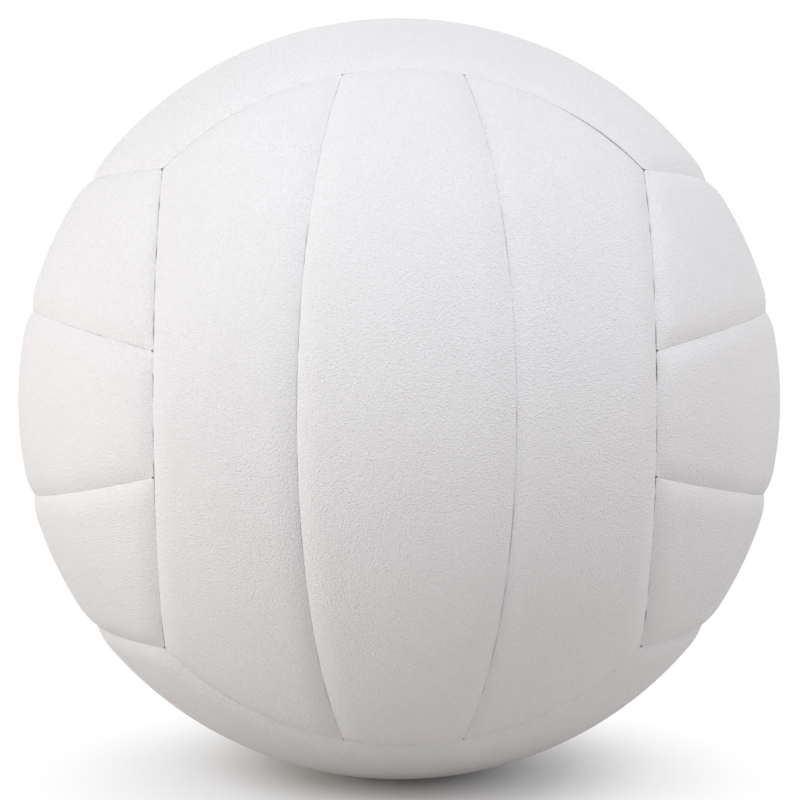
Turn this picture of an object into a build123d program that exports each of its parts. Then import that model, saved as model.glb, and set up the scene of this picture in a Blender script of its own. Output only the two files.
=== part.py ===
from build123d import *
import os
from math import acos, cos, degrees, radians, sin, sqrt

# Volleyball of eighteen padded strips, three to each of the six faces of a cube drawn on the ball.
# Millimetres. The origin is the centre of the ball, +Z runs up through the valve and -Y is the front.

# The ball and its layers, from the outside in
ball_diameter = 210.0
cover_thickness = 1.0
foam_thickness = 2.3
carcass_thickness = 1.0
winding_thickness = 0.8
bladder_thickness = 0.8
glue_line = 0.1

# The seams between the strips
seam_gap = 0.4
seam_depth = 1.3
flank_width = 7.0
middle_strip_angle = 28.2
flank_entry_share = 0.3
trim_angle = 30.0
trim_reach_share = 0.25

# The valve housing, a rubber stem on a flange under the bladder wall
valve_recess = 0.6
stem_diameter = 9.0
stem_clearance = 0.2
stem_edge_radius = 0.5
flange_diameter = 26.0
flange_thickness = 1.2
tail_length = 7.0

# The valve insert, a plug that pulls out of the housing
head_diameter = 6.0
head_thickness = 1.6
head_recess = 0.2
head_edge_radius = 0.3
head_clearance = 0.1
seat_clearance = 0.05
shank_diameter = 4.2
shank_clearance = 0.05
groove_depth = 0.3
groove_width = 1.2
groove_count = 3
tip_length = 2.0
tip_diameter = 3.0
needle_bore_diameter = 2.2
needle_bore_depth = 9.0
needle_mouth_chamfer = 0.4

# The balance patch on the bladder, opposite the valve
patch_diameter = 30.0
patch_thickness = 2.0

# Radii of the layers
ball_radius = ball_diameter / 2
foam_radius = ball_radius - cover_thickness - glue_line
carcass_radius = foam_radius - foam_thickness - glue_line
winding_radius = carcass_radius - carcass_thickness - glue_line
bladder_radius = winding_radius - winding_thickness - glue_line
air_radius = bladder_radius - bladder_thickness

# Heights on the valve's axis
flange_top = air_radius - glue_line
flange_bottom = flange_top - flange_thickness
tail_end = flange_bottom - tail_length
stem_top = ball_radius - valve_recess
head_top = stem_top - head_recess
head_bottom = head_top - head_thickness
seat_height = head_bottom - seat_clearance
tip_end = tail_end - tip_length
needle_bore_bottom = head_top - needle_bore_depth

# Radii on the valve's axis
stem_radius = stem_diameter / 2
valve_hole_radius = stem_radius + stem_clearance
flange_radius = flange_diameter / 2
shank_radius = shank_diameter / 2
housing_bore_radius = shank_radius + shank_clearance
head_radius = head_diameter / 2
head_pocket_radius = head_radius + head_clearance

# Each face of the cube is edged by flat walls, which meet at the cube's corners in the bottom of the seams
right_angle = 90
corner_offset = (ball_radius - seam_depth) / sqrt(3)
corner_angle = right_angle / 2
end_angle = degrees(acos(1 / sqrt(3)))
half_strip = middle_strip_angle / 2
flank_angle = degrees(flank_width / ball_radius)
flank_entry_angle = degrees(flank_entry_share * seam_depth / flank_width)
trim_reach = trim_reach_share * ball_radius

# A strip's walls: how far each wall's inward axis leans from the crown, and its distance from the centre
end_wall = (0, corner_offset)
near_seam = (right_angle - half_strip, 0)
far_seam = (half_strip - right_angle, 0)
side_seam = (right_angle + half_strip, 0)
outer_wall = (-right_angle, -corner_offset)

# The two shapes of strip: the angles that it lies between, about its own length, and its walls
middle_strip = (-half_strip, half_strip, [end_wall, near_seam, far_seam])
side_strip = (half_strip, corner_angle, [end_wall, side_seam, outer_wall])


def on_circle(radius, angle):
    """A point on a circle about the ball's centre, at an angle in degrees."""
    return Vector(radius * cos(radians(angle)), radius * sin(radians(angle)))


def upright(angle):
    """A direction square to a strip's length, at an angle in degrees from the crown."""
    return Vector(sin(radians(angle)), 0, cos(radians(angle)))


def pad(crown_radius, core_radius, inset, strip):
    """A piece of shell, trimmed along each wall to a pad whose edges round down to its seams."""
    start, stop, walls = strip
    first_edge = start - flank_angle
    turn = stop - start + 2 * flank_angle
    half_length = end_angle + flank_angle
    seam_radius = crown_radius - seam_depth
    outer_radius = crown_radius + trim_reach
    inner_radius = core_radius - trim_reach
    with BuildPart() as blank:
        with BuildSketch(Plane((0, 0, 0), upright(first_edge), upright(first_edge - right_angle))):
            with BuildLine():
                crown = CenterArc((0, 0), crown_radius, -half_length, 2 * half_length)
                core = CenterArc((0, 0), core_radius, -half_length, 2 * half_length)
                Line(crown @ 0, core @ 0)
                Line(crown @ 1, core @ 1)
            make_face()
        revolve(axis=Axis.Y, revolution_arc=turn)
        for lean, wall_offset in walls:
            inward = upright(lean)
            away_from_crown = (0, 1, 0) if lean > 0 else (0, -1, 0)
            wall = wall_offset + inset
            seam_angle = degrees(acos(wall_offset / seam_radius))
            wall_foot = (wall, sqrt(inner_radius**2 - wall**2))
            wall_top = (wall, sqrt(seam_radius**2 - wall**2))
            flank_top = on_circle(crown_radius, seam_angle - flank_angle)
            flank_run = on_circle(1, seam_angle - flank_angle + right_angle + flank_entry_angle)
            flank_end = flank_top - flank_run * flank_width
            over_crown = on_circle(outer_radius, seam_angle - 2 * flank_angle)
            over_gap = on_circle(outer_radius, seam_angle + trim_angle)
            under_gap = on_circle(inner_radius, seam_angle + trim_angle)
            with BuildSketch(Plane((0, 0, 0), inward, away_from_crown)):
                with BuildLine():
                    TangentArc(flank_top, wall_top, tangent=flank_run)
                    Polyline(flank_top, flank_end, over_crown, over_gap, under_gap, wall_foot, wall_top)
                make_face()
            revolve(axis=Axis((0, 0, 0), inward), mode=Mode.SUBTRACT)
    return blank.part


def cover_panel(strip):
    """A strip's leather cover, as thick on the flanks as on the crown."""
    with BuildPart() as panel:
        add(pad(ball_radius, carcass_radius, seam_gap / 2, strip))
        add(pad(ball_radius - cover_thickness, winding_radius, -seam_gap / 2, strip), mode=Mode.SUBTRACT)
    return panel.part


def foam_backing(strip):
    """The foam between a strip's cover and the carcass."""
    with BuildPart() as backing:
        add(pad(foam_radius, foam_radius - foam_thickness, seam_gap / 2, strip))
    return backing.part


def layer(outer_radius, thickness):
    """A hollow ball with the valve's hole through its top."""
    with BuildPart() as shell:
        Sphere(outer_radius)
        Sphere(outer_radius - thickness, mode=Mode.SUBTRACT)
        with BuildSketch():
            Circle(valve_hole_radius)
        extrude(amount=ball_radius, mode=Mode.SUBTRACT)
    return shell.part


def keep(piece, name):
    """Names a finished piece and writes it."""
    piece.label = name
    export_step(piece, f"parts/{name}.step")


os.makedirs("parts", exist_ok=True)

# The two shapes of strip, cut once
middle_cover = cover_panel(middle_strip)
side_cover = cover_panel(side_strip)
middle_foam = foam_backing(middle_strip)
side_foam = foam_backing(side_strip)

# The six faces: outward direction, direction across the strips, and the strips' names along it
faces = [
    ("front", (0, -1, 0), (1, 0, 0), ("left", "middle", "right")),
    ("back", (0, 1, 0), (1, 0, 0), ("left", "middle", "right")),
    ("left", (-1, 0, 0), (0, 0, 1), ("lower", "middle", "upper")),
    ("right", (1, 0, 0), (0, 0, 1), ("lower", "middle", "upper")),
    ("top", (0, 0, 1), (0, 1, 0), ("front", "middle", "back")),
    ("bottom", (0, 0, -1), (0, 1, 0), ("front", "middle", "back")),
]
valve_strip = "top_middle"

# The strips, laid on the faces; the first strip of a face is the last one turned half round
for face, outward, across, strips in faces:
    far_side = Plane(origin=(0, 0, 0), x_dir=across, z_dir=outward)
    near_side = Plane(origin=(0, 0, 0), x_dir=-Vector(across), z_dir=outward)
    first, middle, last = (f"{face}_{strip}" for strip in strips)
    for strip, place, cover_shape, foam_shape in (
        (first, near_side, side_cover, side_foam),
        (middle, far_side, middle_cover, middle_foam),
        (last, far_side, side_cover, side_foam),
    ):
        with BuildPart(place) as cover:
            add(cover_shape)
            if strip == valve_strip:
                Hole(valve_hole_radius)
        keep(cover.part, f"{strip}_cover")
        with BuildPart(place) as foam:
            add(foam_shape)
            if strip == valve_strip:
                Hole(valve_hole_radius)
        keep(foam.part, f"{strip}_foam")

# The layers under the strips
keep(layer(carcass_radius, carcass_thickness), "carcass")
keep(layer(winding_radius, winding_thickness), "winding")
keep(layer(bladder_radius, bladder_thickness), "bladder")

# The valve housing: a flange that follows the bladder's wall, with a stem out and a tail in
with BuildPart() as valve_housing:
    with BuildSketch():
        Circle(flange_radius)
    extrude(amount=ball_radius)
    Sphere(flange_top, mode=Mode.INTERSECT)
    Sphere(flange_bottom, mode=Mode.SUBTRACT)
    with BuildSketch(Plane.XY.offset(tail_end)):
        Circle(stem_radius)
    extrude(amount=stem_top - tail_end)
    stem_rims = valve_housing.edges().filter_by(GeomType.CIRCLE)
    fillet([stem_rims.sort_by(Axis.Z)[0], stem_rims.sort_by(Axis.Z)[-1]], stem_edge_radius)
    with BuildSketch(Plane.XY.offset(tail_end)):
        Circle(housing_bore_radius)
    extrude(amount=stem_top - tail_end, mode=Mode.SUBTRACT)
    with BuildSketch(Plane.XY.offset(seat_height)):
        Circle(head_pocket_radius)
    extrude(amount=stem_top - seat_height, mode=Mode.SUBTRACT)
keep(valve_housing.part, "valve_housing")

# The valve insert: a head on a grooved shank, with a blind bore for the pump's needle
groove_spacing = (seat_height - tail_end) / (groove_count + 1)
with BuildPart() as valve_insert:
    with BuildSketch(Plane.XY.offset(head_bottom)):
        Circle(head_radius)
    extrude(amount=head_thickness)
    fillet(valve_insert.edges().sort_by(Axis.Z)[-1], head_edge_radius)
    with BuildSketch(Plane.XY.offset(tail_end)):
        Circle(shank_radius)
    extrude(amount=head_bottom - tail_end)
    with BuildSketch(Plane.XY.offset(tip_end)):
        Circle(tip_diameter / 2)
    with BuildSketch(Plane.XY.offset(tail_end)):
        Circle(shank_radius)
    loft()
    for groove in range(groove_count):
        groove_foot = tail_end + groove_spacing * (groove + 1) - groove_width / 2
        with BuildSketch(Plane.XY.offset(groove_foot)):
            Circle(shank_radius)
            Circle(shank_radius - groove_depth, mode=Mode.SUBTRACT)
        extrude(amount=groove_width, mode=Mode.SUBTRACT)
    with BuildSketch(Plane.XY.offset(needle_bore_bottom)):
        Circle(needle_bore_diameter / 2)
    extrude(amount=needle_bore_depth, mode=Mode.SUBTRACT)
    mouth = valve_insert.faces().sort_by(Axis.Z)[-1].inner_wires()[0].edges()
    chamfer(mouth, needle_mouth_chamfer)
keep(valve_insert.part, "valve_insert")

# The balance patch: a disc on the bladder's inner wall
with BuildPart() as balance_patch:
    with BuildSketch():
        Circle(patch_diameter / 2)
    extrude(amount=-ball_radius)
    Sphere(air_radius - glue_line, mode=Mode.INTERSECT)
    Sphere(air_radius - glue_line - patch_thickness, mode=Mode.SUBTRACT)
keep(balance_patch.part, "balance_patch")
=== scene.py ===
# %% [markdown]
# A volleyball is eighteen soft strips of white leather, three on each side of a cube that has been
# blown up to a ball. Below them lie foam, a rubber carcass, wound thread and a bladder with a valve.
# The real sizes and places come from the imported model, so this lesson starts by loading it, and
# everything below is made in that same frame, in metres. The box of the model is kept here.

# %% Load the frame
from math import asin, cos, radians, sin, sqrt, tan

import bpy
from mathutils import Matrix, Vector


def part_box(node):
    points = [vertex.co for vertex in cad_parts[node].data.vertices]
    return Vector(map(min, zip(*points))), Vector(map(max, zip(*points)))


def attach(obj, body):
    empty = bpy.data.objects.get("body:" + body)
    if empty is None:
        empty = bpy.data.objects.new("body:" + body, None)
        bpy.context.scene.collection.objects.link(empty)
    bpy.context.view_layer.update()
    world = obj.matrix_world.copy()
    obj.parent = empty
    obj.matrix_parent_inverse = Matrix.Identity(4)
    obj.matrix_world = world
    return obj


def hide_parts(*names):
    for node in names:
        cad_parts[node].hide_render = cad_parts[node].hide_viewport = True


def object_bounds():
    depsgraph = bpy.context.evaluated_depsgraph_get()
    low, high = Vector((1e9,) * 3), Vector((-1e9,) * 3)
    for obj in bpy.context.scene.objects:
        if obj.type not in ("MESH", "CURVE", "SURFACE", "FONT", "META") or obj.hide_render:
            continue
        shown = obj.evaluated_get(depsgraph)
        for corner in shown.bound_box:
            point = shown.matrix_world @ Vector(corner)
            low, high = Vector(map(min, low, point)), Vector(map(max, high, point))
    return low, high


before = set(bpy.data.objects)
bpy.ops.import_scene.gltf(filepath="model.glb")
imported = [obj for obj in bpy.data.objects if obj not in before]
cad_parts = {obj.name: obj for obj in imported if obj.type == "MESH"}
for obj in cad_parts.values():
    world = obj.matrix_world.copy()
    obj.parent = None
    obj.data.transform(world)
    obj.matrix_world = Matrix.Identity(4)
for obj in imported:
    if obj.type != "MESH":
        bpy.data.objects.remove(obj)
cad_low, cad_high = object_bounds()
print("pieces in the frame:", len(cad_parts), "ball across:", round(cad_high.x - cad_low.x, 4), "m")

# %% [markdown]
# Every layer's radius can be read from the box of its piece. Three small sizes that no box shows are
# written down here: how thick the leather is, how much glue lies under the foam, and how wide the hole
# over the valve is.

# %% Sizes of the layers
ball_radius = cad_high.x
foam_radius = -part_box("bottom_middle_foam")[0].z
carcass_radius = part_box("carcass")[1].x
cover_thickness = 0.001
glue_line = 0.0001
valve_hole_radius = 0.0047
print("radii:", [round(radius, 4) for radius in (ball_radius, foam_radius, carcass_radius)])

# %% [markdown]
# Node trees are long chains of sums. Written with Blender's own calls, one sum takes three lines, so a
# small class wraps a socket and lets Python's operators add the Math nodes: `1 - mask` then means what
# it says. One more method adds any other node, with its settings first and then its sockets, because
# some sockets appear only once a setting has been made.


# %% A socket that can be used in sums
def find_socket(sockets, name):
    """The socket in use that has this name, or this place in the list."""
    in_use = [socket for socket in sockets if socket.enabled]
    if isinstance(name, int):
        return in_use[name]
    return next(socket for socket in in_use if socket.name == name)


class Wire:
    """A socket that stands in Python sums: each operator adds a Math node to the socket's own tree."""

    def __init__(self, tree, socket=None):
        self.tree = tree
        self.socket = socket

    def node(self, kind, settings=None, sockets=None):
        """Adds any node: its settings, then a value or link for each socket. Gives its first output."""
        made = self.tree.nodes.new(kind)
        for name, value in (settings or {}).items():
            setattr(made, name, value)
        for name, value in (sockets or {}).items():
            if isinstance(value, Wire):
                self.tree.links.new(value.socket, find_socket(made.inputs, name))
            else:
                find_socket(made.inputs, name).default_value = value
        return Wire(self.tree, find_socket(made.outputs, 0) if len(made.outputs) else None)

    def out(self, name):
        """Another output of the same node."""
        return Wire(self.tree, find_socket(self.socket.node.outputs, name))

    def maths(self, operation, *values):
        """A Math node, with this socket first."""
        return self.node("ShaderNodeMath", {"operation": operation}, dict(enumerate((self, *values))))

    def vectors(self, operation, *values):
        """A Vector Math node, with this socket first."""
        return self.node("ShaderNodeVectorMath", {"operation": operation}, dict(enumerate((self, *values))))

    def __add__(self, other):
        return self.maths("ADD", other)

    def __sub__(self, other):
        return self.maths("SUBTRACT", other)

    def __rsub__(self, other):
        return self.node("ShaderNodeMath", {"operation": "SUBTRACT"}, {0: other, 1: self})

    def __mul__(self, other):
        return self.maths("MULTIPLY", other)

    def __truediv__(self, other):
        return self.maths("DIVIDE", other)

    def __rtruediv__(self, other):
        return self.node("ShaderNodeMath", {"operation": "DIVIDE"}, {0: other, 1: self})

    def __pow__(self, other):
        return self.maths("POWER", other)

    def __abs__(self):
        return self.maths("ABSOLUTE")

    __radd__ = __add__
    __rmul__ = __mul__


print("sums on sockets are ready")

# %% [markdown]
# The strips all follow one rule, so one Geometry Nodes tree makes them all. It starts from a finely
# divided block, which is already a closed shell with its faces outwards, and bends it: the block's
# width turns about the strip's length, its length runs up to the face's end seam, and its height is the
# depth of the leather. Drawing each strip by hand, or cutting a ball with planes, would leave seams
# that don't meet.
#
# The tree's inputs are the sizes that a maker would name. The three walls of a strip are flat planes
# through the ball, each given by the way it faces inwards and its height above the centre, as a share
# of the radius.

# %% The inputs of the strip's tree
walls = (1, 2, 3)
strip_inputs = {
    "NodeSocketInt": ["Columns", "Rows", "Layers"],
    "NodeSocketVector": ["Outward", "Across", "Open Spot"],
    "NodeSocketFloat": [
        "Crown Radius", "Under Radius", "Under Drop",
        "Start Angle", "Stop Angle", "Follows Face Edge",
        "Seam Depth", "Flank Width", "Flank Power", "Edge Roll", "Roll Width",
        "Shut Gap", "Open Gap", "Gap Waves", "Shut Below", "Open Above", "Open Reach", "Line Width",
        "Corner Across", "Corner Along", "Swell", "Swell Waves",
        "Hole Radius", "Hole Dip", "Dip Width", "Seed",
    ],
    "NodeSocketMaterial": ["Material"],
}
for wall in walls:
    strip_inputs["NodeSocketVector"].append(f"Wall {wall} Inward")
    strip_inputs["NodeSocketFloat"] += [f"Wall {wall} {size}" for size in ("Height", "Looseness", "Gape")]


def start_tree(name, inputs):
    """A new Geometry Nodes tree with these inputs, and a wire to build on."""
    tree = bpy.data.node_groups.new(name, "GeometryNodeTree")
    for kind, labels in inputs.items():
        for label in labels:
            tree.interface.new_socket(label, in_out="INPUT", socket_type=kind)
    tree.interface.new_socket("Geometry", in_out="OUTPUT", socket_type="NodeSocketGeometry")
    return tree, Wire(tree)


strip_tree, desk = start_tree("leather_strip", strip_inputs)
given = desk.node("NodeGroupInput").out
print("inputs of the strip's tree:", sum(len(labels) for labels in strip_inputs.values()))

# %% [markdown]
# An even grid would waste its faces on the flat crown and leave the edges coarse. A power law crowds
# the rows towards the seams, so that the bend and the rolled edge are smooth with few faces. The
# corners of the block are then rounded: inside a small square at each corner, points move from the
# square's outline to a circle's, which leaves the little pits where three real strips meet.

# %% A grid that is finer at its edges and round at its corners
crowding = 1.6
tiny = 1e-6
block_size = (2, 2, 2)
block = desk.node(
    "GeometryNodeMeshCube",
    sockets={
        "Size": block_size,
        "Vertices X": given("Columns"),
        "Vertices Y": given("Rows"),
        "Vertices Z": given("Layers"),
    },
)
block_place = desk.node("ShaderNodeSeparateXYZ", sockets={0: desk.node("GeometryNodeInputPosition")})


def crowded(place):
    """Moves grid lines that lie between -1 and 1 towards both ends."""
    return place.maths("SIGN") * (1 - (1 - abs(place)) ** crowding)


def past_corner(place, size):
    """How far a place lies into the corner, from 0 to 1."""
    return ((abs(place) - (1 - size)) / size).maths("MAXIMUM", 0)


across = crowded(block_place.out("X"))
along = crowded(block_place.out("Y"))
corner_across = past_corner(across, given("Corner Across"))
corner_along = past_corner(along, given("Corner Along"))
corner_reach = (corner_across**2 + corner_along**2).maths("SQRT").maths("MAXIMUM", tiny)
rounding = 1 - corner_across.maths("MAXIMUM", corner_along) / corner_reach
across = across - across.maths("SIGN") * given("Corner Across") * corner_across * rounding
along = along - along.maths("SIGN") * given("Corner Along") * corner_along * rounding
depth = (block_place.out("Z") + 1) / 2
print("nodes so far, with the grid:", len(strip_tree.nodes))

# %% [markdown]
# Now the flat grid goes onto the ball. The side of a cube, blown up to a ball, ends where its outward
# height is one over the square root of three. A column of the grid turns about the strip's length, and
# its rows run up to that end. On an outer strip the last column follows the edge to the next face,
# which bows outwards.

# %% Bend the grid onto the ball
face_edge_share = 1 / sqrt(3)
hill_detail = 2.0


def scaled(vector, factor):
    """A vector made longer or shorter."""
    return vector.node("ShaderNodeVectorMath", {"operation": "SCALE"}, {"Vector": vector, "Scale": factor})


share = (across + 1) / 2
end_column = given("Start Angle") + share * (given("Stop Angle") - given("Start Angle"))
row_reach = (face_edge_share / end_column.maths("COSINE")).maths("ARCCOSINE")
row = along * row_reach
corner_row = (face_edge_share / given("Stop Angle").maths("COSINE")).maths("ARCCOSINE")
bowed_edge = (face_edge_share / (along * corner_row).maths("COSINE")).maths("ARCSINE")
last_column = given("Stop Angle") + given("Follows Face Edge") * (bowed_edge - given("Stop Angle"))
column = given("Start Angle") + share * (last_column - given("Start Angle"))
direction = desk.node(
    "ShaderNodeCombineXYZ",
    sockets={
        "X": row.maths("COSINE") * column.maths("SINE"),
        "Y": row.maths("SINE"),
        "Z": row.maths("COSINE") * column.maths("COSINE"),
    },
)
turn = desk.node(
    "FunctionNodeAxesToRotation",
    {"primary_axis": "Z", "secondary_axis": "X"},
    {"Primary Axis": given("Outward"), "Secondary Axis": given("Across")},
)
facing = desk.node("FunctionNodeRotateVector", sockets={"Vector": direction, "Rotation": turn})
place_on_ball = scaled(facing, given("Crown Radius"))


def unevenness(waves, layer):
    """Soft random hills from -1 to 1, the same in every run."""
    hills = desk.node(
        "ShaderNodeTexNoise",
        {"noise_dimensions": "4D"},
        {"Vector": place_on_ball, "W": given("Seed") + layer, "Scale": waves, "Detail": hill_detail},
    )
    return hills * 2 - 1


print("nodes so far, with the bend:", len(strip_tree.nodes))

# %% [markdown]
# The pillow comes from the distance to each seam. Near a wall the leather falls by a power of what is
# left of the flank, and at the very edge it rolls over into the gap. Multiplying what stays flat, wall
# by wall, lets two flanks run into each other at a corner without a crease. The gap itself isn't even:
# glue and pressing leave it shut in most places, so soft noise opens and closes it, and the seam shows
# as a broken thin line. How loose a seam is depends on which strips it joins, and round one spot, near
# the upper right corner of the front, it gapes.

# %% Seams, flanks and gaps
gap_hills = 0.0


def eased(value, start, stop):
    """Rises smoothly from 0 to 1 while a value goes from start to stop."""
    return value.node(
        "ShaderNodeMapRange",
        {"interpolation_type": "SMOOTHSTEP"},
        {"Value": value, "From Min": start, "From Max": stop},
    )


spot_away = place_on_ball.vectors("DISTANCE", given("Open Spot")).out("Value")
spot_share = eased(spot_away, given("Open Reach"), 0.0)
noise_share = eased(unevenness(given("Gap Waves"), gap_hills), given("Shut Below"), given("Open Above"))
crown_share = 1.0
unrolled_share = 1.0
push = None
seam_line = None
for wall in walls:
    inward = given(f"Wall {wall} Inward")
    rise = direction.vectors("DOT_PRODUCT", inward)
    climb = rise.maths("ARCSINE") - given(f"Wall {wall} Height").maths("ARCSINE")
    from_seam = (climb * given("Crown Radius")).maths("MAXIMUM", 0)
    bend = (1 - from_seam / given("Flank Width")).maths("MAXIMUM", 0) ** given("Flank Power")
    roll = (1 - from_seam / given("Roll Width")).maths("MAXIMUM", 0) ** 2
    gape = spot_share * given(f"Wall {wall} Gape")
    opening = gape.maths("MAXIMUM", noise_share * given(f"Wall {wall} Looseness"))
    half_gap = given("Shut Gap") + given("Open Gap") * opening
    crown_share = crown_share * (1 - bend)
    unrolled_share = unrolled_share * (1 - roll * opening)
    inland = inward.vectors("SUBTRACT", scaled(direction, rise)).vectors("NORMALIZE")
    wall_push = scaled(inland, bend * half_gap / given("Crown Radius"))
    push = wall_push if push is None else push.vectors("ADD", wall_push)
    # Where a seam opens, its edge is marked for painted shade of the gap in the leather's colour.
    wall_line = (1 - from_seam / given("Line Width")).maths("MAXIMUM", 0) * opening
    seam_line = wall_line if seam_line is None else seam_line.maths("MAXIMUM", wall_line)
drop = given("Seam Depth") * (1 - crown_share)
roll_drop = given("Edge Roll") * (1 - unrolled_share)
print("nodes so far, with the seams:", len(strip_tree.nodes))

# %% [markdown]
# The top of the strip is the crown less these drops, and its underside follows it at the leather's
# thickness, or, on the foam, lies flat on the carcass. A faint swell of a few hundredths of a
# millimetre breaks up the perfect ball, as foam under leather does. Round the valve's hole the leather
# dips a little. How near a point lies to an open seam is stored with it, for the leather's colour. That
# is done before the points move, because all these sums start from the block's own places.

# %% The strip's surface
swell_hills = 7.0
from_axis = desk.node("ShaderNodeSeparateXYZ", sockets={0: direction})
off_axis = (from_axis.out("X") ** 2 + from_axis.out("Y") ** 2).maths("SQRT") * given("Crown Radius")
dip_left = 1 - (off_axis - given("Hole Radius")) / given("Dip Width")
dip = given("Hole Dip") * dip_left.maths("MAXIMUM", 0).maths("MINIMUM", 1) ** 2
swell = given("Swell") * unevenness(given("Swell Waves"), swell_hills) * crown_share
top = given("Crown Radius") - drop - roll_drop - dip + swell
under = given("Under Radius") - given("Under Drop") * (drop + dip - swell)
height = under + (top - under) * depth
local_place = scaled(direction.vectors("ADD", push).vectors("NORMALIZE"), height)
marked = desk.node(
    "GeometryNodeStoreNamedAttribute",
    {"data_type": "FLOAT", "domain": "POINT"},
    {"Geometry": block, "Name": "seam_line", "Value": seam_line},
)
shell = desk.node("GeometryNodeSetPosition", sockets={"Geometry": marked, "Position": local_place})
print("nodes so far, with the surface:", len(strip_tree.nodes))

# %% [markdown]
# The strip over the valve has a round hole. A Mesh Boolean with a cylinder cuts it, behind a Switch, so
# the other strips don't pay for it. At the end the tree turns the strip to its place on the ball, keeps
# the edges sharp where top and wall meet, gives it its material and realizes it as one plain mesh.

# %% Hole, shading and material
hole_sides = 96
sharp_angle = radians(38)


def more_than(value, limit):
    """True where a value is greater than a limit."""
    return value.node("FunctionNodeCompare", {"operation": "GREATER_THAN"}, {"A": value, "B": limit})


cutter = desk.node(
    "GeometryNodeMeshCylinder",
    sockets={"Vertices": hole_sides, "Radius": given("Hole Radius"), "Depth": given("Crown Radius")},
)
cutter_place = desk.node("ShaderNodeCombineXYZ", sockets={"Z": given("Crown Radius")})
cutter = desk.node("GeometryNodeTransform", sockets={"Geometry": cutter, "Translation": cutter_place})
holed = desk.node(
    "GeometryNodeMeshBoolean",
    {"operation": "DIFFERENCE", "solver": "EXACT"},
    {"Mesh 1": shell, "Mesh 2": cutter},
)
shell = desk.node(
    "GeometryNodeSwitch",
    {"input_type": "GEOMETRY"},
    {"Switch": more_than(given("Hole Radius"), 0.0), "False": shell, "True": holed},
)
shell = desk.node("GeometryNodeTransform", sockets={"Geometry": shell, "Rotation": turn})
shell = desk.node(
    "GeometryNodeSetShadeSmooth",
    {"domain": "FACE"},
    {"Geometry": shell, "Shade Smooth": True},
)
is_sharp = more_than(desk.node("GeometryNodeInputMeshEdgeAngle"), sharp_angle)
shell = desk.node(
    "GeometryNodeSetShadeSmooth",
    {"domain": "EDGE"},
    {"Geometry": shell, "Selection": is_sharp, "Shade Smooth": False},
)
shell = desk.node("GeometryNodeRealizeInstances", sockets={"Geometry": shell})
shell = desk.node("GeometryNodeSetMaterial", sockets={"Geometry": shell, "Material": given("Material")})
desk.node("NodeGroupOutput", sockets={"Geometry": shell})
print("nodes in the strip's tree:", len(strip_tree.nodes))

# %% [markdown]
# The cover is matte white synthetic leather. Close up it has a fine pebble grain with short creases,
# about half a millimetre across, which is far too small to model and is made as bump. All of it is read
# from Object coordinates in metres, so the grain has its true size and runs over the whole ball without
# a seam. The pattern is stretched a little along a slant, as the rollers leave it. The white is greyer
# in soft patches, and the hollows of the grain are painted grey as their shade. Where a seam stands
# open, its edge is painted dark as the shade in the gap.

# %% White leather
leather_white = (0.812, 0.805, 0.823, 1.0)
# leather_grey is the patches' own grey, and also the painted shade in the grain's hollows.
leather_grey = (0.70, 0.69, 0.70, 1.0)
# The dark brown of an open seam is painted shade of the gap between strips.
painted_gap_shade = (0.20, 0.175, 0.14, 1.0)
slant_turn = (0.0, -asin(1 / sqrt(3)), radians(45))
slant_stretch = 1.2
pebbles_per_metre = 2150.0
pebble_randomness = 0.8
creases_per_metre = 2900.0
crease_detail = 0.0
patches_per_metre = 45.0
patch_detail = 3.0
pebble_share = 0.9
grain_depth = 0.00014
grain_middle = 0.25
hollow_shade_contrast = 0.6
patch_middle = 0.35
patch_contrast = 0.3
leather_roughness = 0.52
roughness_range = 0.16


def start_material(name):
    """A new material with an empty tree, and a wire to build on."""
    material = bpy.data.materials.new(name)
    material.use_nodes = True
    material.node_tree.nodes.clear()
    return material, Wire(material.node_tree)


def finish_material(desk, sockets):
    """Ends a material's tree in a Principled shader with these sockets."""
    shader = desk.node("ShaderNodeBsdfPrincipled", sockets=sockets)
    desk.node("ShaderNodeOutputMaterial", sockets={"Surface": shader})


def mixed(desk, factor, first, second):
    """A colour between two others."""
    return desk.node("ShaderNodeMix", {"data_type": "RGBA"}, {"Factor": factor, "A": first, "B": second})


def noise(desk, place, waves, detail):
    """Soft random hills from 0 to 1."""
    return desk.node("ShaderNodeTexNoise", sockets={"Vector": place, "Scale": waves, "Detail": detail})


def bumps(desk, height, depth, strength=1.0):
    """A normal that follows a height, with the depth in metres."""
    return desk.node("ShaderNodeBump", sockets={"Strength": strength, "Distance": depth, "Height": height})


def white_leather():
    """Matte white, a pebble grain, soft grey patches, and painted shade in its hollows and open seams."""
    material, desk = start_material("white_leather")
    place = desk.node("ShaderNodeTexCoord").out("Object")
    slant = desk.node(
        "ShaderNodeMapping",
        {"vector_type": "TEXTURE"},
        {"Vector": place, "Rotation": slant_turn, "Scale": (slant_stretch, 1.0, 1.0)},
    )
    pebbles = desk.node(
        "ShaderNodeTexVoronoi",
        {"feature": "F1"},
        {"Vector": slant, "Scale": pebbles_per_metre, "Randomness": pebble_randomness},
    )
    creases = noise(desk, slant, creases_per_metre, crease_detail)
    patches = noise(desk, place, patches_per_metre, patch_detail)
    # seam_line marks open seams, whose edges are painted dark as the shade in the gap.
    seam_line = desk.node("ShaderNodeAttribute", {"attribute_name": "seam_line"}).out("Fac")
    grain = creases - pebbles * pebble_share
    # The patches are the leather's own tone; the grain's share paints shade into its hollows.
    patches_and_hollow_shade = (patches - patch_middle) * patch_contrast + (grain_middle - grain) * hollow_shade_contrast
    colour = mixed(desk, patches_and_hollow_shade.maths("MAXIMUM", 0), leather_white, leather_grey)
    finish_material(
        desk,
        {
            "Base Color": mixed(desk, seam_line, colour, painted_gap_shade),
            "Roughness": leather_roughness + patches * roughness_range,
            "Normal": bumps(desk, grain, grain_depth),
        },
    )
    return material


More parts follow.
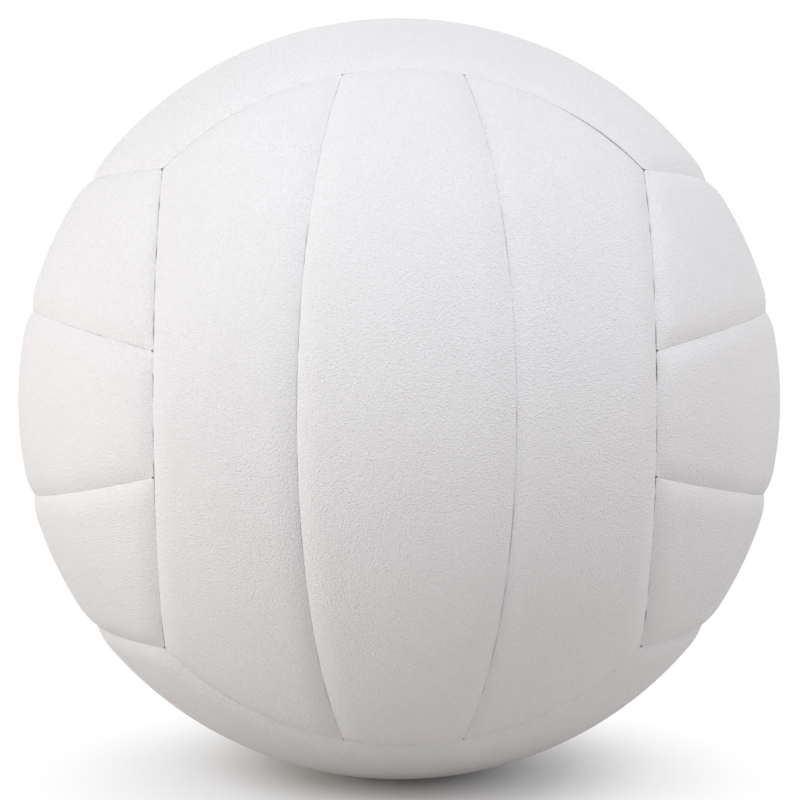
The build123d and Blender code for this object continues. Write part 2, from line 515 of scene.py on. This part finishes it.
leather = white_leather()
print("made", leather.name)

# %% [markdown]
# The hidden layers get finishes too, because the seams and the valve's hole show a sliver of them, and
# a reader may take the ball apart. The foam is a cream sheet of fine closed cells, whose walls a
# Voronoi texture gives by its distance to the nearest edge.

# %% Foam
foam_cream = (0.82, 0.78, 0.64, 1.0)
foam_shade = (0.66, 0.62, 0.50, 1.0)
cells_per_metre = 1800.0
cell_wall_depth = 0.0001
wall_sharpness = 4
wall_shade_share = 0.5
wall_bump = 0.7
foam_roughness = 0.85
wall_polish = 0.1


def closed_cell_foam():
    """Cream cells with slightly darker and smoother walls."""
    material, desk = start_material("closed_cell_foam")
    place = desk.node("ShaderNodeTexCoord").out("Object")
    cells = desk.node(
        "ShaderNodeTexVoronoi",
        {"feature": "DISTANCE_TO_EDGE"},
        {"Vector": place, "Scale": cells_per_metre},
    )
    cell_walls = (1 - cells * wall_sharpness).maths("MAXIMUM", 0)
    finish_material(
        desk,
        {
            "Base Color": mixed(desk, cell_walls * wall_shade_share, foam_cream, foam_shade),
            "Roughness": foam_roughness - cell_walls * wall_polish,
            "Normal": bumps(desk, cell_walls, cell_wall_depth, wall_bump),
        },
    )
    return material


foam = closed_cell_foam()
print("made", foam.name)

# %% [markdown]
# Rubber is moulded, so its skin is a fine even grain with soft clouds in the colour. One function makes
# all four kinds, and a row of the table gives each its darker and lighter colour, its roughness, and
# the number of grains to the metre and their depth.

# %% Rubber
clouds_per_metre = 60.0
cloud_detail = 4.0
cloud_middle = 0.5
rubber_grain_detail = 2.0
rubber_roughness_range = 0.2
rubber_bump = 0.5
rubbers = {
    "carcass_rubber": ((0.17, 0.16, 0.145, 1.0), (0.23, 0.22, 0.195, 1.0), 0.75, 1500.0, 0.0001),
    "bladder_rubber": ((0.040, 0.040, 0.041, 1.0), (0.060, 0.060, 0.060, 1.0), 0.55, 700.0, 0.0001),
    "valve_rubber": ((0.045, 0.045, 0.047, 1.0), (0.075, 0.075, 0.075, 1.0), 0.6, 3000.0, 0.00004),
    "insert_rubber": ((0.28, 0.28, 0.275, 1.0), (0.36, 0.36, 0.345, 1.0), 0.55, 3000.0, 0.00004),
}


def moulded_rubber(name, dark, light, roughness, grains_per_metre, depth):
    """Cloudy colour, fine grain, and a roughness that wanders a little."""
    material, desk = start_material(name)
    place = desk.node("ShaderNodeTexCoord").out("Object")
    clouds = noise(desk, place, clouds_per_metre, cloud_detail)
    grain = noise(desk, place, grains_per_metre, rubber_grain_detail)
    finish_material(
        desk,
        {
            "Base Color": mixed(desk, clouds, dark, light),
            "Roughness": roughness + (clouds - cloud_middle) * rubber_roughness_range,
            "Normal": bumps(desk, grain, depth, rubber_bump),
        },
    )
    return material


rubber = {name: moulded_rubber(name, *row) for name, row in rubbers.items()}
print("made", list(rubber))

# %% [markdown]
# The winding is one long thread, wound round the bladder in every direction. Modelling its turns would
# take millions of faces that nobody sees, so wave bands in five directions stand for the topmost turns.
# Each row of the table is a tilt and a spin of the bands.

# %% Thread
thread_light = (0.86, 0.84, 0.78, 1.0)
thread_shade = (0.48, 0.46, 0.41, 1.0)
threads_per_metre = 160.0
thread_depth = 0.0003
thread_waver = 0.6
thread_waver_detail = 1.0
thread_roughness = 0.8
thread_polish = 0.15
thread_bump = 0.8
windings = ((0.2, 0.0), (1.1, 0.7), (0.7, 1.9), (1.5, 2.6), (0.4, 1.3))


def wound_thread():
    """Bands of thread in five directions, the topmost of which shows at each place."""
    material, desk = start_material("wound_thread")
    place = desk.node("ShaderNodeTexCoord").out("Object")
    threads = 0.0
    for tilt, spin in windings:
        band_turn = (tilt, spin, tilt - spin)
        turned = desk.node("ShaderNodeMapping", sockets={"Vector": place, "Rotation": band_turn})
        band = desk.node(
            "ShaderNodeTexWave",
            {"wave_type": "BANDS"},
            {
                "Vector": turned,
                "Scale": threads_per_metre,
                "Distortion": thread_waver,
                "Detail": thread_waver_detail,
            },
        )
        threads = band.maths("MAXIMUM", threads)
    finish_material(
        desk,
        {
            "Base Color": mixed(desk, threads, thread_shade, thread_light),
            "Roughness": thread_roughness - threads * thread_polish,
            "Normal": bumps(desk, threads, thread_depth, thread_bump),
        },
    )
    return material


thread = wound_thread()
print("made", thread.name)

# %% [markdown]
# The inner pieces of the model have the right shape already, so they stay as they are and only take
# their finish. A piece's material is kept in its mesh, in a list of slots, so the list is emptied and
# the new material put in.

# %% Dress the inner pieces
finishes = {
    "carcass": rubber["carcass_rubber"],
    "winding": thread,
    "bladder": rubber["bladder_rubber"],
    "balance_patch": rubber["bladder_rubber"],
    "valve_housing": rubber["valve_rubber"],
    "valve_insert": rubber["insert_rubber"],
}
for node, finish in finishes.items():
    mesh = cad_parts[node].data
    mesh.materials.clear()
    mesh.materials.append(finish)
print("dressed", len(finishes), "inner pieces")

# %% [markdown]
# Two shapes of strip cover the ball: the middle strip of a face lies between two straight seams, and
# the strip on either side of it lies between a straight seam and the bowed edge of the face. The second
# side strip is the first one turned half round. The dictionaries below hold what sets the two shapes
# apart. Each wall is the way it faces inwards, its height, and the kind of seam that it belongs to.

# %% The two shapes of strip
half_strip_angle = radians(14.1)
corner_angle = radians(45)


def seam_wall(angle):
    """The inward direction of a straight seam whose strip lies on the far side of this angle."""
    return (cos(angle), 0.0, -sin(angle))


end_wall = ((0.0, 0.0, 1.0), face_edge_share, "end")
middle_strip = {
    "Start Angle": -half_strip_angle,
    "Stop Angle": half_strip_angle,
    "Follows Face Edge": 0.0,
    "walls": (
        end_wall,
        (seam_wall(-half_strip_angle), 0.0, "inner"),
        ((-cos(half_strip_angle), 0.0, sin(half_strip_angle)), 0.0, "inner"),
    ),
}
side_strip = {
    "Start Angle": half_strip_angle,
    "Stop Angle": corner_angle,
    "Follows Face Edge": 1.0,
    "walls": (
        end_wall,
        (seam_wall(half_strip_angle), 0.0, "inner"),
        ((-1.0, 0.0, 0.0), -face_edge_share, "edge"),
    ),
}
print("middle strip:", round(2 * half_strip_angle * ball_radius, 4), "m across the front")

# %% [markdown]
# On the real ball the seams differ. Those that run upright between the front or back and the sides show
# a broken dark line, the level ones between the front or back and the top or bottom a faint one that
# gapes near one corner, and those between the sides and the top or bottom are pressed shut. Each face
# is listed with the way that it faces, the way from its first strip to its last, its strips, and the
# kind of seam at the strips' ends, between the strips and along the outer edge.

# %% The faces and their kinds of seam
# Each kind of seam is how loose it is, and how far it gapes at the open spot.
upright_seam = (0.6, 0.35)
level_seam = (0.15, 1.0)
side_seam = (0.04, 0.0)
front_inner_seam = (0.2, 0.0)
side_inner_seam = (0.1, 0.0)
upright_face = {"end": level_seam, "inner": front_inner_seam, "edge": upright_seam}
side_face = {"end": upright_seam, "inner": side_inner_seam, "edge": side_seam}
level_face = {"end": side_seam, "inner": side_inner_seam, "edge": level_seam}
faces = (
    ("front", (0, -1, 0), (1, 0, 0), ("left", "middle", "right"), upright_face),
    ("back", (0, 1, 0), (1, 0, 0), ("left", "middle", "right"), upright_face),
    ("left", (-1, 0, 0), (0, 0, 1), ("lower", "middle", "upper"), side_face),
    ("right", (1, 0, 0), (0, 0, 1), ("lower", "middle", "upper"), side_face),
    ("top", (0, 0, 1), (0, 1, 0), ("front", "middle", "back"), level_face),
    ("bottom", (0, 0, -1), (0, 1, 0), ("front", "middle", "back"), level_face),
)
print("faces:", [face[0] for face in faces])

# %% [markdown]
# A layer is all that leather and foam need besides the shape. The leather has more rows, a rolled edge
# and an uneven gap; the foam below it is plainer, because nobody sees it. A piece is made by giving the
# tree its inputs, by each socket's identifier, and turning the result into a plain mesh before it is
# bound to the ball.

# %% The two layers
leather_layer = {
    "Columns": 64,
    "Rows": 192,
    "Layers": 5,
    "Crown Radius": ball_radius,
    "Under Radius": ball_radius - cover_thickness,
    "Under Drop": 1.0,
    "Seam Depth": 0.0012,
    "Flank Width": 0.0075,
    "Flank Power": 2.5,
    "Edge Roll": 0.00014,
    "Roll Width": 0.0005,
    "Shut Gap": 0.00001,
    "Open Gap": 0.0002,
    "Gap Waves": 150.0,
    "Shut Below": -0.2,
    "Open Above": 0.45,
    "Open Spot": (0.050, -0.0653, 0.0653),
    "Open Reach": 0.022,
    "Line Width": 0.00025,
    "Corner Across": 0.05,
    "Corner Along": 0.011,
    "Swell": 0.00004,
    "Swell Waves": 75.0,
    "Hole Dip": 0.0003,
    "Dip Width": 0.003,
    "Seed": 3.0,
    "Material": leather,
}
foam_layer = leather_layer | {
    "Columns": 24,
    "Rows": 72,
    "Layers": 3,
    "Crown Radius": foam_radius,
    "Under Radius": carcass_radius + glue_line,
    "Under Drop": 0.0,
    "Edge Roll": 0.0,
    "Shut Gap": 0.0003,
    "Open Gap": 0.0,
    "Swell": 0.0,
    "Material": foam,
}


def make_strip(name, shape, layer, seams, outward, across, hole_radius):
    """One strip of leather or foam, as a plain mesh in its place on the ball."""
    values = layer | {key: value for key, value in shape.items() if key != "walls"}
    for wall, (inward, wall_height, kind) in zip(walls, shape["walls"]):
        values[f"Wall {wall} Inward"] = inward
        values[f"Wall {wall} Height"] = wall_height
        values[f"Wall {wall} Looseness"], values[f"Wall {wall} Gape"] = seams[kind]
    values |= {"Outward": outward, "Across": across, "Hole Radius": hole_radius}
    piece = bpy.data.objects.new(name, bpy.data.meshes.new(name))
    bpy.context.scene.collection.objects.link(piece)
    modifier = piece.modifiers.new("strip", "NODES")
    modifier.node_group = strip_tree
    for socket in strip_tree.interface.items_tree:
        if socket.in_out == "INPUT":
            modifier[socket.identifier] = values[socket.name]
    evaluated = piece.evaluated_get(bpy.context.evaluated_depsgraph_get())
    mesh = bpy.data.meshes.new_from_object(evaluated)
    piece.modifiers.remove(modifier)
    piece.data = mesh
    mesh.name = name
    return piece


print("leather's rows and columns:", leather_layer["Rows"], leather_layer["Columns"])

# %% [markdown]
# Now the eighteen strips are made twice, once in leather and once in foam. Each piece rides on the
# ball and stands for its plain solid in the model: the leather is drawn tight over its foam.

# %% Cover the ball
valve_strip = "top_middle"
triangles = 0
for face, outward, across_face, strips, seams in faces:
    turned = tuple(-value for value in across_face)
    first, middle, last = (f"{face}_{strip}" for strip in strips)
    for strip, shape, across_strip in (
        (first, side_strip, turned),
        (middle, middle_strip, across_face),
        (last, side_strip, across_face),
    ):
        hole = valve_hole_radius if strip == valve_strip else 0.0
        cover = make_strip(f"{strip}_leather", shape, leather_layer, seams, outward, across_strip, hole)
        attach(cover, "ball")
        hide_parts(f"{strip}_cover")
        backing = make_strip(f"{strip}_backing", shape, foam_layer, seams, outward, across_strip, hole)
        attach(backing, "ball")
        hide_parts(f"{strip}_foam")
        for piece in (cover, backing):
            piece.data.calc_loop_triangles()
            triangles += len(piece.data.loop_triangles)
print("triangles in the strips:", triangles)

# %% [markdown]
# The ball stands on a plain pale floor. Close to the ball the floor is a real surface and takes its
# shadow; further out it fades to the white of the background, so no horizon cuts the picture. The white
# is shown to the camera and to reflections only: the light that falls on the ball comes from the lamps
# and a softer world.

# %% Floor and world
floor_size = 3.0
floor_white = (0.97, 0.97, 0.97, 1.0)
floor_bounce = (0.63, 0.60, 0.57, 1.0)
fade_start = 0.1
fade_stop = 0.15
world_strength = 0.34
world_white = (1.0, 0.95, 0.91, 1.0)
backdrop_white = (1.0, 1.0, 1.0, 1.0)


def seen_directly(desk):
    """One for rays from the camera and from mirrors or glass, nought for light that spreads."""
    path = desk.node("ShaderNodeLightPath")
    glossy = path.out("Is Glossy Ray")
    through = path.out("Is Transmission Ray")
    return path.out("Is Camera Ray").maths("MAXIMUM", glossy).maths("MAXIMUM", through)


def pale_floor():
    """A pale surface near the ball that fades to plain white further out."""
    material, desk = start_material("pale_floor")
    place = desk.node("ShaderNodeTexCoord").out("Object")
    fade = eased(place.vectors("LENGTH"), fade_start, fade_stop)
    seen = seen_directly(desk)
    colour = mixed(desk, seen, floor_bounce, floor_white)
    surface = desk.node("ShaderNodeBsdfDiffuse", sockets={"Color": colour})
    white = desk.node("ShaderNodeEmission", sockets={"Strength": 1.0})
    shader = desk.node("ShaderNodeMixShader", sockets={0: fade * seen, 1: surface, 2: white})
    desk.node("ShaderNodeOutputMaterial", sockets={"Surface": shader})
    return material


floor_mesh = bpy.data.meshes.new("floor")
reach = floor_size / 2
floor_corners = [(x * reach, y * reach, -ball_radius) for x, y in ((-1, -1), (1, -1), (1, 1), (-1, 1))]
floor_mesh.from_pydata(floor_corners, [], [(0, 1, 2, 3)])
floor_mesh.materials.append(pale_floor())
floor = bpy.data.objects.new("floor", floor_mesh)
bpy.context.scene.collection.objects.link(floor)

world = bpy.data.worlds.new("studio")
world.use_nodes = True
world.node_tree.nodes.clear()
sky_desk = Wire(world.node_tree)
lighting = sky_desk.node(
    "ShaderNodeBackground",
    sockets={"Color": world_white, "Strength": world_strength},
)
backdrop = sky_desk.node("ShaderNodeBackground", sockets={"Color": backdrop_white, "Strength": 1.0})
seen = seen_directly(sky_desk)
sky = sky_desk.node("ShaderNodeMixShader", sockets={0: seen, 1: lighting, 2: backdrop})
sky_desk.node("ShaderNodeOutputWorld", sockets={"Surface": sky})
bpy.context.scene.world = world
print("floor at", round(-ball_radius, 4), "m")

# %% [markdown]
# White on white shows its shape only by soft shading. A warm lamp stands on the left, nearly level with
# the ball, and a cooler one hangs in front on the left, so the flanks that face left are bright and the
# others grey, which is what shows the seams. A third lamp hangs above, a weak fourth one on the right
# keeps the far flanks from going dark, and the floor sends a little warm light back up.

# %% Lamps
lamp_distance = 1.2
lamp_size = 0.5
warm_white = (1.0, 0.96, 0.85)
cool_white = (0.88, 0.92, 1.0)
plain_white = (1.0, 1.0, 1.0)


def soft_lamp(name, towards, power, colour):
    """A square lamp in a given direction, aimed at the ball."""
    data = bpy.data.lights.new(name, "AREA")
    data.shape = "SQUARE"
    data.size = lamp_size
    data.energy = power
    data.color = colour
    lamp = bpy.data.objects.new(name, data)
    place = Vector(towards).normalized() * lamp_distance
    lamp.location = place
    lamp.rotation_euler = place.to_track_quat("Z", "Y").to_euler()
    bpy.context.scene.collection.objects.link(lamp)
    return lamp


lamps = (
    soft_lamp("left_lamp", (-0.95, -0.30, 0.14), 4.5, warm_white),
    soft_lamp("front_lamp", (-0.55, -0.60, 0.58), 5.9, cool_white),
    soft_lamp("top_lamp", (0.55, -0.30, 0.78), 4.4, plain_white),
    soft_lamp("right_lamp", (0.80, -0.45, 0.40), 2.7, cool_white),
)
print("lamps at", [[round(value, 2) for value in lamp.location] for lamp in lamps])

# %% [markdown]
# The camera stands in front of the ball, a little above its middle and to the left. It is just over
# five radii away, near enough to show the side strips bending back, with a lens that lets the ball fill
# the picture.

# %% Camera
camera_radii = 5.28
camera_height_angle = radians(2.46)
camera_side_angle = radians(-1.0)
sensor_width = 36.0
nearest_seen = 0.01
ball_share_of_picture = 0.95225
aim_offset = Vector((0.0002, 0.0, -0.0002))
half_view = asin(1 / camera_radii)
camera_data = bpy.data.cameras.new("camera")
camera_data.sensor_width = sensor_width
camera_data.lens = sensor_width / 2 * ball_share_of_picture / tan(half_view)
camera_data.clip_start = nearest_seen
camera = bpy.data.objects.new("camera", camera_data)
level_reach = cos(camera_height_angle)
camera_way = Vector((
    sin(camera_side_angle) * level_reach,
    -cos(camera_side_angle) * level_reach,
    sin(camera_height_angle),
))
camera.location = camera_way * camera_radii * ball_radius
camera.rotation_euler = (camera.location - aim_offset).to_track_quat("Z", "Y").to_euler()
bpy.context.scene.collection.objects.link(camera)
bpy.context.scene.camera = camera
bpy.context.scene.view_settings.view_transform = "Standard"
print("lens:", round(camera_data.lens, 1), "mm")
